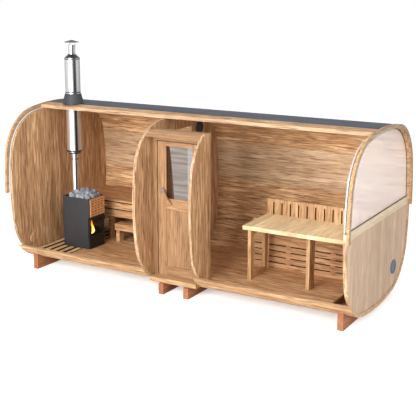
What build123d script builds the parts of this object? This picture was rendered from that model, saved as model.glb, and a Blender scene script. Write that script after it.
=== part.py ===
"""Barrel sauna, shown as a sectional display: the front of its shell is left off.

Sizes are millimetres. X runs along the barrel, Y from the open front (negative)
to the back, Z up. The origin is on the ground under the middle of the barrel.
"""
from build123d import *
import os
from math import asin, cos, degrees, radians, sin, sqrt

# Driving dimensions: the barrel and its section
room_length = 4744
inner_half = 1050
corner_radius = 600
bulge_radius = 3250
stave_thickness = 45
end_wall_thickness = 44
stave_overhang = 12
ground_gap = 65
seat_gap = 0.3
running_gap = 0.06

# Where the shell is left off: from the axis at the roof, above the lowest stave at the base
roof_cut = 345
base_cut_rise = 230

# Roof sheet and end hoops
sheet_thickness = 4
sheet_front = 170
sheet_back_rise = 480
sheet_inset = 8
hoop_thickness = 30
hoop_depth = 55
hoop_leg_drop = 45

# Cradles under the barrel
cradle_thickness = 72
cradle_setback = 250
cradle_height = 224
cradle_left_gap = 137
cradle_right_gap = 101
porch_cradle_gaps = (246, 615)

# Rooms, measured from the left wall's inner face
steam_length = 1962
partition_thickness = 40
porch_width = 774
wing_thickness = 32
door_wall_setback = 410
door_wall_thickness = 66

# Floors
floor_rise = 130
floor_thickness = 28
grate_length = 600
grate_slats = 5
grate_slat_width = 72
floor_end_gap = 284

# Steam room doorway in the partition, and the round vents
inner_door_front = 310
inner_door_width = 620
inner_door_head = 205
vent_radius = 90
vent_rim = 12
vent_thickness = 10
high_vent_gaps = (538, 250)
low_vent_gaps = (488, 300)
cover_gaps = (379, 288)
cover_radius = 70
cover_thickness = 12
cover_chamfer = 5

# Entrance door and porch
sill_rise = 93
door_left_jamb = 62
door_right_jamb = 56
door_clearance = 10
sill_clearance = 6
door_head_height = 77
leaf_thickness = 42
leaf_setback = 4
stile_width = 125
top_rail = 56
mid_rail_top = 62
mid_rail_height = 140
bottom_rail = 118
panel_inset = 8
glass_thickness = 12
hinge_radius = 8
hinge_standoff = 5
hinge_length = 90
hinge_plate = 4
hinge_plate_width = 46
hinge_low_gap = 200.5
hinge_high_gap = 173.8
ceiling_drop = 183
ceiling_thickness = 73
step_thickness = 60
step_projection = 125
step_left_gap = 20
step_right_gap = 70
notch_left_gap = 10
notch_right_gap = 18
notch_back_gap = 39
notch_height = 200
handle_length = 262
handle_standoff = 46
handle_thickness = 20
handle_grip = 24
handle_foot = 36
handle_tilt = 31
handle_centre_z = 96
handle_past_stile = 18

# Right end: waist rail and panorama glass
rail_bottom = -33
rail_height = 86
rail_nose = 14
rail_slope = (12, 22)
pane_thickness = 20

# Stove and chimney
stove_back = 250
stove_depth = 475
stove_width = 360
stove_y = -150
stove_height = 720
stove_corner = 30
stove_wall = 12
tray_depth = 40
fire_top = 450
fire_bottom = 147
fire_door_thickness = 16
fire_door_clearance = 5
fire_frame = 26
fire_hinge_radius = 6
fire_hinge_station = 20
fire_hinge_half = 20
fire_hinge_foot = 12
fire_hinge_low = 58
fire_hinge_high = 46
fire_pane = 5
fire_bar_length = 90
fire_bar_radius = 5
fire_bar_standoff = 14
fire_bar_feet = 34
fire_chamber_depth = 260
grille_bottom = 462
grille_plate = 8
grille_drop = 6
perforation_size = (46, 12)
perforation_pitch = (68, 38)
perforation_columns = 4
perforation_rows = 6
drawer_slots = (46, 96)
drawer_slot_length = 270
drawer_slot_height = 12
drawer_slot_depth = 9
flue_radius = 48
flue_wall = 4
flue_setback = 108
chimney_radius = 105
chimney_drop = 633
chimney_rise = 678
chimney_cone = 50
lower_cone = 24
flue_rise = 174
flashing_radius = 146
flashing_rise = 186
cap_radius = 102
cap_gap = 44
cap_thickness = 6
cap_rise = 26
strut_radius = 3
strut_lap = 34
stone_mound_height = 110
stone_mound_top = (160, 120)
stone_mound_shift = 42
stone_edge = 45
stone_bore_length = 400

# Steam room benches
bench_height = 585
bench_board = 28
bench_depth = 750
bench_fascia_height = 108
bench_board_gap = 8
bench_post_width = 60
bench_post_station = 572
step_bench_depth = 127
step_bench_height = 272
step_bench_board = 93
step_bench_station = 790
step_leg_width = 58

# Lounge bench in the rest room
lounge_length = 1599
lounge_front = 362
lounge_back = 330
lounge_height = 694
lounge_board = 50
backrest_rise = 206
backrest_thickness = 24
backrest_first_slot = 93
backrest_pitch = 118
backrest_slot = 18
backrest_slot_height = 164
grille_y = 230
grille_past_top = 155
grille_thickness = 22
grille_pitch = 79
grille_slot = 14
grille_rows = 4
stile_station = 12
stile_pitch = 310
grille_stile = 66
frame_thickness = 46
frame_leg_depth = 75
frame_leg_setback = 14
frame_left_station = 69
frame_back_leg = 47
frame_stretcher = 62
frame_right_station = 862
right_leg_depth = 68
right_back_leg = -240
right_back_leg_depth = 45

# Worked out from the sizes above
axis_height = ground_gap + stave_thickness + inner_half
base_cut = inner_half - base_cut_rise
floor_drop = inner_half - floor_rise
sill_drop = inner_half - sill_rise
ceiling_bottom = inner_half - ceiling_drop
door_top = ceiling_bottom - door_head_height
door_wall_front = inner_half - door_wall_setback
step_front = door_wall_front + step_projection
cradle_half_width = inner_half - cradle_setback
cradle_stations = (
    cradle_left_gap, *[steam_length + gap for gap in porch_cradle_gaps],
    room_length - cradle_right_gap,
)
high_vent = (inner_half - high_vent_gaps[0], inner_half - high_vent_gaps[1])
low_vent = (inner_half - low_vent_gaps[0], low_vent_gaps[1] - inner_half)
cover_y = cover_gaps[0] - inner_half
cover_z = cover_gaps[1] - inner_half
left_x = -room_length / 2
right_x = room_length / 2
shell_left = left_x - end_wall_thickness - stave_overhang
shell_right = right_x + end_wall_thickness + stave_overhang
bulge_offset = bulge_radius - inner_half
corner_centre = (sqrt(2 * (bulge_radius - corner_radius) ** 2 - bulge_offset**2) - bulge_offset) / 2
bulge_angle = degrees(asin(corner_centre / (bulge_radius - corner_radius)))
reach = 2 * inner_half
partition_left = left_x + steam_length
partition_right = partition_left + partition_thickness
wing_left = partition_right + porch_width
wing_right = wing_left + wing_thickness
door_wall_back = door_wall_front - door_wall_thickness
step_bottom = -sill_drop - step_thickness
notch_back = door_wall_back - notch_back_gap
step_left_x = partition_right + step_left_gap
step_right_x = wing_left - step_right_gap

os.makedirs("parts", exist_ok=True)


def write(piece, name):
    """Label one finished piece and write it to its own file."""
    piece.part.label = name
    export_step(piece.part, f"parts/{name}.step")


def barrel_face(growth):
    """Section of the barrel's inside, grown outwards: four flat and four tight arcs."""
    with BuildSketch(mode=Mode.PRIVATE) as face:
        with BuildLine():
            for quarter in range(4):
                turn = 90 * quarter
                side = Vector(-bulge_offset, 0).rotate(Axis.Z, turn)
                corner = Vector(corner_centre, corner_centre).rotate(Axis.Z, turn)
                CenterArc(side, bulge_radius + growth, turn - bulge_angle, 2 * bulge_angle)
                CenterArc(corner, corner_radius + growth, turn + bulge_angle, 90 - 2 * bulge_angle)
        make_face()
    return face.sketch


def section_y(z, growth=0.0):
    """Half width of the barrel's section at a height from its axis."""
    height = abs(z)
    tangent = (bulge_radius + growth) * sin(radians(bulge_angle))
    if height <= tangent:
        return sqrt((bulge_radius + growth) ** 2 - height**2) - bulge_offset
    return corner_centre + sqrt((corner_radius + growth) ** 2 - (height - corner_centre) ** 2)


def section_plane(x):
    """Plane across the barrel, with its origin on the axis."""
    return Plane(origin=(x, 0, axis_height), x_dir=(0, 1, 0), z_dir=(1, 0, 0))


def ring_segment(x, length, inner, outer, corners):
    """Length of the barrel's ring between two growths, inside a wedge given by its corners."""
    with BuildPart() as piece:
        with BuildSketch(section_plane(x)):
            add(barrel_face(outer))
            add(barrel_face(inner), mode=Mode.SUBTRACT)
            with BuildLine():
                Polyline(*corners, close=True)
            make_face(mode=Mode.INTERSECT)
        extrude(amount=length)
    return piece


def wall_slab(x, thickness, corners):
    """Wall across the barrel: the inner section inside an outline given by its corners."""
    with BuildPart() as piece:
        with BuildSketch(section_plane(x)):
            add(barrel_face(-seat_gap))
            with BuildLine():
                Polyline(*corners, close=True)
            make_face(mode=Mode.INTERSECT)
        extrude(amount=thickness)
    return piece


def box_between(low, high, mode=Mode.ADD):
    """Rectangular solid between two corners."""
    size = [b - a for a, b in zip(low, high)]
    with Locations((Vector(*low) + Vector(*high)) / 2):
        Box(*size, mode=mode)


def at_axis(z):
    """Height above the ground of a height given from the barrel's axis."""
    return axis_height + z


# The chimney's line through the roof
stove_left = left_x + stove_back
flue_x = stove_left + flue_setback
flue_y = stove_y
chimney_bottom = inner_half - chimney_drop
chimney_top = inner_half + chimney_rise
flue_top = chimney_top + flue_rise
flashing_top = inner_half + flashing_rise


def chimney_hole(radius):
    """Upright hole for the chimney, through whatever block is being built."""
    with Locations((flue_x, flue_y, at_axis(inner_half))):
        Cylinder(radius, inner_half, mode=Mode.SUBTRACT)


# Shell: staves glued into five curved segments
shell_length = shell_right - shell_left
shell_roof = ring_segment(
    shell_left, shell_length, 0, stave_thickness,
    [(-roof_cut, 0), (-roof_cut, reach), (reach, reach), (0, 0)],
)
with shell_roof:
    chimney_hole(chimney_radius + 2)
write(shell_roof, "shell_roof")

shell_back_upper = ring_segment(
    shell_left, shell_length, 0, stave_thickness, [(0, 0), (reach, reach), (reach, 0)]
)
write(shell_back_upper, "shell_back_upper")

shell_back_lower = ring_segment(
    shell_left, shell_length, 0, stave_thickness, [(0, 0), (reach, 0), (reach, -reach)]
)
write(shell_back_lower, "shell_back_lower")

shell_base_back = ring_segment(
    shell_left, shell_length, 0, stave_thickness, [(0, 0), (reach, -reach), (0, -reach)]
)
write(shell_base_back, "shell_base_back")

# The front base is notched between the porch walls for the entrance step
shell_base_front = ring_segment(
    shell_left, shell_length, 0, stave_thickness,
    [(0, -base_cut), (0, -reach), (-reach, -reach), (-reach, -base_cut)],
)
with shell_base_front:
    box_between(
        (partition_right + notch_left_gap, -reach, at_axis(step_bottom)),
        (wing_left - notch_right_gap, -notch_back, at_axis(step_bottom + notch_height)),
        Mode.SUBTRACT,
    )
write(shell_base_front, "shell_base_front")

# Roof sheet, from its cut front edge over to the back
sheet_back_y = section_y(sheet_back_rise, stave_thickness)
roof_sheet = ring_segment(
    shell_left + sheet_inset, shell_length - 2 * sheet_inset,
    stave_thickness + seat_gap, stave_thickness + sheet_thickness,
    [(-sheet_front, 0), (-sheet_front, reach), (reach, reach),
     (reach, sheet_back_rise * reach / sheet_back_y), (0, 0)],
)
with roof_sheet:
    chimney_hole(chimney_radius + 2)
write(roof_sheet, "roof_sheet")

# End hoops: upper half rings that stand against the ends of the shell
hoop_wedge = [(-reach, -hoop_leg_drop), (-reach, reach), (reach, reach), (reach, -hoop_leg_drop)]
left_hoop = ring_segment(shell_left - hoop_thickness, hoop_thickness, 0, hoop_depth, hoop_wedge)
write(left_hoop, "left_hoop")
right_hoop = ring_segment(shell_right, hoop_thickness, 0, hoop_depth, hoop_wedge)
write(right_hoop, "right_hoop")

# Cradles: boards on edge whose tops are scooped out to the shell and the entrance step
with BuildPart() as cradles:
    for station in cradle_stations:
        with BuildSketch(section_plane(left_x + station - cradle_thickness / 2)):
            with Locations((0, -axis_height + cradle_height / 2)):
                Rectangle(2 * cradle_half_width, cradle_height)
            add(barrel_face(stave_thickness + seat_gap), mode=Mode.SUBTRACT)
        extrude(amount=cradle_thickness)
    box_between(
        (step_left_x - seat_gap, -2 * cradle_half_width, at_axis(step_bottom) - seat_gap),
        (step_right_x + seat_gap, -door_wall_back, axis_height),
        Mode.SUBTRACT,
    )
write(cradles, "cradles")

# End walls
whole_section = [(-reach, -reach), (-reach, reach), (reach, reach), (reach, -reach)]
left_end_wall = wall_slab(left_x - end_wall_thickness, end_wall_thickness, whole_section)
with left_end_wall:
    with Locations((left_x + cover_thickness / 2, cover_y, at_axis(cover_z))):
        Cylinder(cover_radius, cover_thickness, rotation=(0, 90, 0))
    chamfer(
        left_end_wall.edges().filter_by(GeomType.CIRCLE).sort_by(Axis.X)[-1],
        length=cover_chamfer,
    )
write(left_end_wall, "left_end_wall")

right_end_wall = wall_slab(
    right_x, end_wall_thickness,
    [(-reach, -reach), (-reach, rail_bottom), (reach, rail_bottom), (reach, -reach)],
)
with right_end_wall:
    with Locations((right_x + end_wall_thickness / 2, low_vent[0], at_axis(low_vent[1]))):
        Cylinder(vent_radius - vent_rim, 2 * end_wall_thickness, rotation=(0, 90, 0),
                 mode=Mode.SUBTRACT)
write(right_end_wall, "right_end_wall")

rail_top = rail_bottom + rail_height
with BuildPart() as waist_rail:
    with BuildSketch(section_plane(right_x)):
        add(barrel_face(-seat_gap))
        with Locations((0, (rail_bottom + rail_top) / 2)):
            Rectangle(2 * reach, rail_height, mode=Mode.INTERSECT)
    extrude(amount=end_wall_thickness + rail_nose - stave_overhang)
    chamfer(
        waist_rail.edges().filter_by(Axis.Y).group_by(Axis.Z)[-1].sort_by(Axis.X)[-1],
        length=rail_slope[0], length2=rail_slope[1],
    )
write(waist_rail, "waist_rail")

panorama_glass = wall_slab(
    right_x, pane_thickness, [(-reach, rail_top), (-reach, reach), (reach, reach), (reach, rail_top)]
)
write(panorama_glass, "panorama_glass")


# Round vents: shallow discs with a rim, on the faces that look along +X
vent_places = (
    (right_x + end_wall_thickness + seat_gap, *low_vent),
    (partition_right + seat_gap, *high_vent),
)
with BuildPart() as round_vents:
    for face_x, vent_y, vent_z in vent_places:
        with Locations((face_x + vent_thickness / 2, vent_y, at_axis(vent_z))):
            Cylinder(vent_radius, vent_thickness, rotation=(0, 90, 0))
        with Locations((face_x + vent_thickness, vent_y, at_axis(vent_z))):
            Cylinder(vent_radius - vent_rim, vent_thickness, rotation=(0, 90, 0),
                     mode=Mode.SUBTRACT)
write(round_vents, "round_vents")

# Steam room partition, split beside and over its doorway
inner_door_back = inner_door_width - inner_door_front
inner_door_top = inner_half - inner_door_head
steam_wall_front = wall_slab(
    partition_left, partition_thickness,
    [(-reach, -reach), (-reach, reach), (-inner_door_front, reach), (-inner_door_front, -reach)],
)
write(steam_wall_front, "steam_wall_front")
steam_wall_back = wall_slab(
    partition_left, partition_thickness,
    [(inner_door_back, -reach), (inner_door_back, reach), (reach, reach), (reach, -reach)],
)
with steam_wall_back:
    with Locations((partition_left + partition_thickness / 2, high_vent[0],
                    at_axis(high_vent[1]))):
        Cylinder(vent_radius - vent_rim, 2 * partition_thickness, rotation=(0, 90, 0),
                 mode=Mode.SUBTRACT)
write(steam_wall_back, "steam_wall_back")
steam_wall_head = wall_slab(
    partition_left, partition_thickness,
    [(-inner_door_front, inner_door_top), (-inner_door_front, reach),
     (inner_door_back, reach), (inner_door_back, inner_door_top)],
)
write(steam_wall_head, "steam_wall_head")

# Porch: side wing, ceiling board and entrance step
ceiling_top = ceiling_bottom + ceiling_thickness
porch_wing = wall_slab(
    wing_left, wing_thickness,
    [(-reach, -reach), (-reach, ceiling_top), (-door_wall_back, ceiling_top),
     (-door_wall_back, -reach)],
)
write(porch_wing, "porch_wing")

porch_ceiling = wall_slab(
    partition_right, porch_width,
    [(-reach, ceiling_bottom), (-reach, ceiling_top),
     (-door_wall_back, ceiling_top), (-door_wall_back, ceiling_bottom)],
)
write(porch_ceiling, "porch_ceiling")

with BuildPart() as entrance_step:
    box_between(
        (step_left_x, -step_front, at_axis(step_bottom)),
        (step_right_x, -door_wall_back, at_axis(-sill_drop)),
    )
    fillet(entrance_step.edges().filter_by(Axis.X).group_by(Axis.Y)[0], radius=4)
write(entrance_step, "entrance_step")

# Door wall: jambs and head between the porch walls
leaf_left = partition_right + door_left_jamb + door_clearance
leaf_right = wing_left - door_right_jamb - door_clearance
jamb_left_edge = leaf_left - door_clearance
jamb_right_edge = leaf_right + door_clearance
with BuildPart() as door_jamb_left:
    box_between(
        (partition_right, -door_wall_front, at_axis(-sill_drop)),
        (jamb_left_edge, -door_wall_back, at_axis(ceiling_bottom)),
    )
write(door_jamb_left, "door_jamb_left")
with BuildPart() as door_jamb_right:
    box_between(
        (jamb_right_edge, -door_wall_front, at_axis(-sill_drop)),
        (wing_left, -door_wall_back, at_axis(ceiling_bottom)),
    )
write(door_jamb_right, "door_jamb_right")
with BuildPart() as door_head:
    box_between(
        (jamb_left_edge, -door_wall_front, at_axis(door_top + door_clearance)),
        (jamb_right_edge, -door_wall_back, at_axis(ceiling_bottom)),
    )
write(door_head, "door_head")

leaf_front_y = -door_wall_front + leaf_setback
leaf_back_y = leaf_front_y + leaf_thickness
leaf_bottom = -sill_drop + sill_clearance
mid_rail_bottom = mid_rail_top - mid_rail_height
window_low = (leaf_left + stile_width, mid_rail_top)
window_high = (leaf_right - stile_width, door_top - top_rail)
leaf_mid_y = (leaf_front_y + leaf_back_y) / 2
# Slanting bow handle, from the closing stile down to the middle rail
tilt = radians(handle_tilt)
handle_plane = Plane(
    origin=(leaf_left + stile_width + handle_past_stile, leaf_front_y - seat_gap,
            at_axis(handle_centre_z)),
    x_dir=(0, 1, 0), z_dir=(cos(tilt), 0, sin(tilt)),
)
half_handle = handle_length / 2
with BuildPart() as door_handle:
    with BuildSketch(handle_plane.offset(-handle_thickness / 2)):
        with BuildLine():
            outer_bow = ThreePointArc((0, -half_handle), (-handle_standoff, 0), (0, half_handle))
            inner_bow = ThreePointArc(
                (0, handle_foot - half_handle), (handle_grip - handle_standoff, 0),
                (0, half_handle - handle_foot),
            )
            Line(outer_bow @ 0, inner_bow @ 0)
            Line(outer_bow @ 1, inner_bow @ 1)
        make_face()
    extrude(amount=handle_thickness)
    fillet(door_handle.edges().filter_by(GeomType.CIRCLE), radius=6)
write(door_handle, "door_handle")

# Entrance door leaf: stiles, rails, a glazed top and a boarded bottom
with BuildPart() as entrance_door:
    box_between(
        (leaf_left, leaf_front_y, at_axis(leaf_bottom)),
        (leaf_right, leaf_back_y, at_axis(door_top)),
    )
    with Locations((
        (window_low[0] + window_high[0]) / 2, leaf_mid_y,
        at_axis((window_low[1] + window_high[1]) / 2),
    )):
        Box(window_high[0] - window_low[0], 2 * leaf_thickness,
            window_high[1] - window_low[1], mode=Mode.SUBTRACT)
    for side_y in (leaf_front_y, leaf_back_y):
        with Locations((
            (window_low[0] + window_high[0]) / 2, side_y,
            at_axis((leaf_bottom + bottom_rail + mid_rail_bottom) / 2),
        )):
            Box(window_high[0] - window_low[0], 2 * panel_inset,
                mid_rail_bottom - leaf_bottom - bottom_rail, mode=Mode.SUBTRACT)
write(entrance_door, "entrance_door")

with BuildPart() as door_glass:
    box_between(
        (window_low[0], leaf_mid_y - glass_thickness / 2, at_axis(window_low[1])),
        (window_high[0], leaf_mid_y + glass_thickness / 2, at_axis(window_high[1])),
    )
write(door_glass, "door_glass")

# Hinges in front of the leaf's far edge: pins on the jamb, bored knuckles on the leaf
hinge_x = leaf_right + door_clearance / 2
hinge_y = -door_wall_front - hinge_radius - hinge_standoff
hinge_heights = [
    at_axis(leaf_bottom + hinge_low_gap), axis_height, at_axis(door_top - hinge_high_gap)
]
half_hinge = hinge_length / 2
with BuildPart() as jamb_hinges:
    for z in hinge_heights:
        with Locations((hinge_x, hinge_y, z - half_hinge / 2)):
            Cylinder(hinge_radius, half_hinge)
        with Locations((hinge_x, hinge_y, z)):
            Cylinder(hinge_radius / 2, hinge_length)
        box_between((hinge_x, hinge_y, z - half_hinge), (hinge_x + 4, -door_wall_front, z))
        box_between(
            (hinge_x, -door_wall_front - hinge_plate, z - half_hinge),
            (hinge_x + hinge_plate_width, -door_wall_front - seat_gap, z),
        )
write(jamb_hinges, "jamb_hinges")

with BuildPart() as door_hinges:
    for z in hinge_heights:
        with Locations((hinge_x, hinge_y, z + seat_gap + half_hinge / 2)):
            Cylinder(hinge_radius, half_hinge)
        box_between(
            (hinge_x - hinge_plate_width, leaf_front_y - hinge_plate, z + seat_gap),
            (hinge_x, leaf_front_y - seat_gap, z + seat_gap + half_hinge),
        )
        box_between(
            (hinge_x - 4, hinge_y, z + seat_gap),
            (hinge_x, leaf_front_y - hinge_plate, z + seat_gap + half_hinge),
        )
        with Locations((hinge_x, hinge_y, z + half_hinge / 2)):
            Cylinder(hinge_radius / 2 + running_gap, hinge_length, mode=Mode.SUBTRACT)
write(door_hinges, "door_hinges")


# Floors, whose long edges follow the shell
def floor_slab(x, length, cut=None):
    """Floor boards between two stations, shaped to the shell along both sides."""
    with BuildPart() as floor:
        with BuildSketch(section_plane(x)):
            add(barrel_face(-seat_gap))
            with Locations((0, -floor_drop - floor_thickness / 2)):
                Rectangle(2 * reach, floor_thickness, mode=Mode.INTERSECT)
        extrude(amount=length)
        if cut:
            with Locations(cut[0]):
                Box(*cut[1], mode=Mode.SUBTRACT)
    return floor


rest_floor_length = room_length - steam_length - partition_thickness - floor_end_gap
porch_floor_cut = (
    ((partition_right + wing_right) / 2, -door_wall_back - inner_half / 2, at_axis(-floor_drop)),
    (wing_right - partition_right, inner_half, 4 * floor_thickness),
)
rest_floor = floor_slab(partition_right, rest_floor_length, porch_floor_cut)
write(rest_floor, "rest_floor")

# The steam room's floor starts with open slats under the stove
slat_pitch = grate_length / grate_slats
steam_floor = floor_slab(left_x + grate_length, steam_length - grate_length)
with steam_floor:
    for number in range(grate_slats):
        slat_x = left_x + slat_pitch * number + (slat_pitch - grate_slat_width) / 2
        add(floor_slab(slat_x, grate_slat_width).part)
write(steam_floor, "steam_floor")

# Steam room benches
bench_top_drop = floor_drop - bench_height
bench_front = inner_half - bench_depth
bench_back_y = section_y(-bench_top_drop - bench_board) - seat_gap
bench_right = partition_left
fascia_top = -bench_top_drop - bench_board
with BuildPart() as upper_bench:
    box_between(
        (left_x, bench_front, at_axis(-bench_top_drop - bench_board)),
        (bench_right, bench_back_y, at_axis(-bench_top_drop)),
    )
    for row in range(2):
        high = fascia_top - row * (bench_fascia_height + bench_board_gap)
        box_between(
            (left_x, bench_front, at_axis(high - bench_fascia_height)),
            (bench_right, bench_front + bench_board, at_axis(high)),
        )
    for station in (bench_post_station, steam_length - bench_post_width):
        box_between(
            (left_x + station, bench_front + bench_board, at_axis(-floor_drop)),
            (left_x + station + bench_post_width, bench_front + bench_board + bench_post_width,
             at_axis(fascia_top)),
        )
write(upper_bench, "upper_bench")

step_left = left_x + step_bench_station
step_bench_drop = floor_drop - step_bench_height
step_bench_front = bench_front - step_bench_depth
with BuildPart() as step_bench:
    box_between(
        (step_left, step_bench_front, at_axis(-step_bench_drop - step_bench_board)),
        (bench_right, bench_front + bench_board - 2, at_axis(-step_bench_drop)),
    )
    for leg_x in (step_left + 12, bench_right - step_leg_width - 12):
        for leg_y in (step_bench_front + 12, bench_front - step_leg_width):
            box_between(
                (leg_x, leg_y, at_axis(-floor_drop)),
                (leg_x + step_leg_width, leg_y + step_leg_width,
                 at_axis(-step_bench_drop - step_bench_board)),
            )
write(step_bench, "step_bench")

# Lounge bench: top, slatted back, slotted panel below, and its supports
lounge_left = right_x - lounge_length
lounge_top_drop = floor_drop - lounge_height
lounge_bottom = -lounge_top_drop - lounge_board
with BuildPart() as lounge_top:
    box_between(
        (lounge_left, -lounge_front, at_axis(lounge_bottom)),
        (right_x, lounge_back, at_axis(-lounge_top_drop)),
    )
    fillet(lounge_top.edges().filter_by(Axis.X).group_by(Axis.Y)[0], radius=3)
write(lounge_top, "lounge_top")

backrest_count = int((right_x - lounge_left - backrest_first_slot) // backrest_pitch) + 1
backrest_low = -lounge_top_drop
with BuildPart() as lounge_backrest:
    box_between(
        (lounge_left, lounge_back, at_axis(lounge_bottom)),
        (right_x, lounge_back + backrest_thickness, at_axis(backrest_low + backrest_rise)),
    )
    with Locations(*[
        (lounge_left + backrest_first_slot + backrest_pitch * n, lounge_back,
         at_axis(backrest_low + backrest_slot_height / 2))
        for n in range(backrest_count)
    ]):
        Box(backrest_slot, 4 * backrest_thickness, backrest_slot_height, mode=Mode.SUBTRACT)
write(lounge_backrest, "lounge_backrest")

grille_left = lounge_left - grille_past_top
grille_top = -floor_drop + grille_rows * grille_pitch
grille_right = right_x - floor_end_gap
slot_ends = [grille_left + grille_thickness]
stile_x = lounge_left + stile_station
while stile_x + grille_stile < grille_right - grille_thickness:
    slot_ends += [stile_x, stile_x + grille_stile]
    stile_x += stile_pitch
slot_ends.append(grille_right - grille_thickness)
with BuildPart() as lounge_grille:
    box_between(
        (grille_left, grille_y, at_axis(-floor_drop)),
        (grille_right, grille_y + grille_thickness, at_axis(lounge_bottom)),
    )
    for slot_left, slot_right in zip(slot_ends[::2], slot_ends[1::2]):
        for row in range(grille_rows):
            slot_z = at_axis(grille_top - grille_pitch * row)
            box_between(
                (slot_left, grille_y - 1, slot_z - grille_slot / 2),
                (slot_right, grille_y + grille_thickness + 1, slot_z + grille_slot / 2),
                Mode.SUBTRACT,
            )
write(lounge_grille, "lounge_grille")

frame_left = lounge_left + frame_left_station
leg_front_y = -lounge_front + frame_leg_setback
frame_right = lounge_left + frame_right_station
support_frames = (
    (frame_left, frame_leg_depth, frame_back_leg, frame_leg_depth),
    (frame_right, right_leg_depth, right_back_leg, right_back_leg_depth),
)
with BuildPart() as lounge_supports:
    for frame_x, front_depth, back_leg_y, back_depth in support_frames:
        for low_y, depth in ((leg_front_y, front_depth), (back_leg_y, back_depth)):
            box_between(
                (frame_x, low_y, at_axis(-floor_drop)),
                (frame_x + frame_thickness, low_y + depth, at_axis(lounge_bottom)),
            )
        for low_z in (-floor_drop, lounge_bottom - frame_stretcher):
            box_between(
                (frame_x, leg_front_y, at_axis(low_z)),
                (frame_x + frame_thickness, back_leg_y + back_depth,
                 at_axis(low_z + frame_stretcher)),
            )
write(lounge_supports, "lounge_supports")

# Stove: a closed body on a plinth, with a stone tray on top and a fire opening in front
stove_right = stove_left + stove_depth
stove_top = -floor_drop + stove_height
stove_mid_x = (stove_left + stove_right) / 2
stove_floor_z = at_axis(-floor_drop)
fire_low = stove_floor_z + fire_bottom + fire_door_clearance
fire_high = stove_floor_z + fire_top - fire_door_clearance
fire_left = stove_right - fire_door_thickness
fire_front_y = stove_y - stove_width / 2 + 8
fire_back_y = stove_y + stove_width / 2 - fire_hinge_station
fire_hinge_x = stove_right + 4
fire_hinge_y = fire_back_y + fire_hinge_radius
fire_window_low = (fire_front_y + fire_frame, fire_low + fire_frame)
fire_window_high = (fire_back_y - fire_frame, fire_high - fire_frame)
fire_hinge_heights = (fire_low + fire_hinge_low, fire_high - fire_hinge_high)
with BuildPart() as stove_body:
    with Locations((stove_mid_x, stove_y, stove_floor_z + stove_height / 2)):
        Box(stove_depth, stove_width, stove_height)
    fillet(stove_body.edges().filter_by(Axis.Z), radius=stove_corner)
    with Locations((stove_mid_x, stove_y, at_axis(stove_top) - tray_depth / 2)):
        Box(stove_depth - 2 * stove_wall, stove_width - 2 * stove_wall, tray_depth,
            mode=Mode.SUBTRACT)
    with Locations((
        stove_right - fire_chamber_depth / 2, stove_y, stove_floor_z + (fire_top + fire_bottom) / 2,
    )):
        Box(fire_chamber_depth, stove_width - 2 * fire_frame - 20,
            fire_top - fire_bottom - 2 * fire_frame, mode=Mode.SUBTRACT)
    with Locations((stove_right, stove_y, stove_floor_z + (fire_top + fire_bottom) / 2)):
        Box(2 * (fire_door_thickness + fire_door_clearance), stove_width + 2,
            fire_top - fire_bottom, mode=Mode.SUBTRACT)
    for slot_z in drawer_slots:
        with Locations((stove_right, stove_y, stove_floor_z + slot_z)):
            Box(2 * drawer_slot_depth, drawer_slot_length, drawer_slot_height,
                mode=Mode.SUBTRACT)
    for z in fire_hinge_heights:
        foot_top = z - fire_hinge_half - seat_gap
        with Locations((fire_hinge_x, fire_hinge_y, foot_top - fire_hinge_foot / 2)):
            Cylinder(fire_hinge_radius, fire_hinge_foot)
        with Locations((fire_hinge_x, fire_hinge_y, z - fire_hinge_foot / 2)):
            Cylinder(fire_hinge_radius / 2, 2 * fire_hinge_half + fire_hinge_foot)
        box_between(
            (stove_right - fire_door_thickness - fire_door_clearance - 2, fire_hinge_y,
             foot_top - fire_hinge_foot),
            (fire_hinge_x, fire_hinge_y + 8, foot_top),
        )
write(stove_body, "stove_body")

# Perforated heat grille in front of the stone tray
grille_low = stove_floor_z + grille_bottom
grille_high = stove_floor_z + stove_height - grille_drop
grille_half = stove_width / 2 - stove_corner + 12
with BuildPart() as stove_grille:
    box_between(
        (stove_right, stove_y - grille_half, grille_low),
        (stove_right + grille_plate, stove_y + grille_half, grille_high),
    )
    grille_face = Plane(
        origin=(stove_right + grille_plate, stove_y, (grille_low + grille_high) / 2),
        x_dir=(0, 1, 0), z_dir=(1, 0, 0),
    )
    with BuildSketch(grille_face):
        with GridLocations(*perforation_pitch, perforation_columns, perforation_rows):
            SlotOverall(*perforation_size)
    extrude(amount=-2 * grille_plate, mode=Mode.SUBTRACT)
write(stove_grille, "stove_grille")

# Fire door: a framed glass leaf hung at its back edge, standing in a full-width recess
with BuildPart() as stove_door:
    box_between(
        (fire_left, fire_front_y, fire_low), (stove_right, fire_back_y, fire_high)
    )
    box_between(
        (fire_left - 1, fire_window_low[0], fire_window_low[1]),
        (stove_right + 1, fire_window_high[0], fire_window_high[1]),
        Mode.SUBTRACT,
    )
    for z in fire_hinge_heights:
        with Locations((fire_hinge_x, fire_hinge_y, z)):
            Cylinder(fire_hinge_radius, 2 * fire_hinge_half)
        box_between(
            (stove_right - 3, fire_back_y - 10, z - fire_hinge_half),
            (fire_hinge_x, fire_hinge_y, z + fire_hinge_half),
        )
        with Locations((fire_hinge_x, fire_hinge_y, z)):
            Cylinder(fire_hinge_radius / 2 + running_gap, 3 * fire_hinge_half, mode=Mode.SUBTRACT)
    bar_y = fire_front_y + fire_frame / 2
    bar_z = (fire_low + fire_high) / 2
    with Locations((stove_right + fire_bar_standoff, bar_y, bar_z)):
        Cylinder(fire_bar_radius, fire_bar_length)
    for foot_z in (bar_z - fire_bar_feet, bar_z + fire_bar_feet):
        with Locations((stove_right + fire_bar_standoff / 2, bar_y, foot_z)):
            Cylinder(fire_bar_radius - 1, fire_bar_standoff + 2, rotation=(0, 90, 0))
write(stove_door, "stove_door")

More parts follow.
